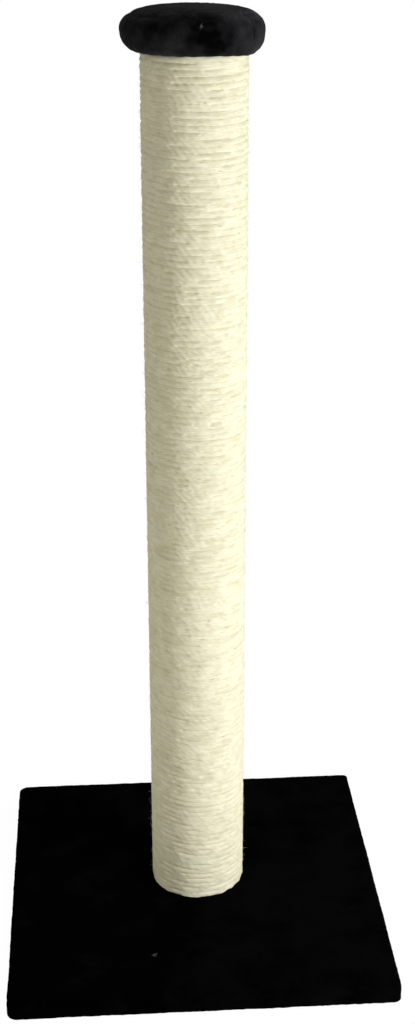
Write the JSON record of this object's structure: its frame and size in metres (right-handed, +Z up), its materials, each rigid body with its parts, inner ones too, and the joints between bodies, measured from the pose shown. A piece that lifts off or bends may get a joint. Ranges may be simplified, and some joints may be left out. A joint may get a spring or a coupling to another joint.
{
  "type": "cat scratching post",
  "caption": "Free-standing cat scratching post: sisal-wound column on a square plush-covered base board, with a padded plush cap.",
  "frame": {"origin": "centre of the base's underside, on the floor", "axes": "+Z up along the post, -Y the front that the picture shows, +X to its right"},
  "size_m": [0.4, 0.4, 0.957],
  "materials": {
    "black_plush": "matte",
    "natural_sisal": "matte",
    "particle_board": "matte",
    "plug_wood": "matte",
    "wound_paper_tube": "matte",
    "white_foam": "matte",
    "zinc_plated_steel": "satin"
  },
  "bodies": {
    "root": {"base_board": "particle_board", "base_plush_cover": "black_plush", "base_hem_staples": "zinc_plated_steel", "base_bolt": "zinc_plated_steel", "base_washer": "zinc_plated_steel", "post_tube": "wound_paper_tube", "bottom_plug": "plug_wood", "bottom_tee_nut": "zinc_plated_steel", "top_plug": "plug_wood", "top_tee_nut": "zinc_plated_steel", "plug_staples": "zinc_plated_steel", "rope_lower_winding": "natural_sisal", "rope_top_turns": "natural_sisal", "rope_end_staples": "zinc_plated_steel", "cap_board": "particle_board", "cap_tee_nut": "zinc_plated_steel", "cap_stud": "zinc_plated_steel", "cap_foam": "white_foam", "cap_plush_cover": "black_plush", "cap_hem_staples": "zinc_plated_steel"}
  },
  "joints": []
}
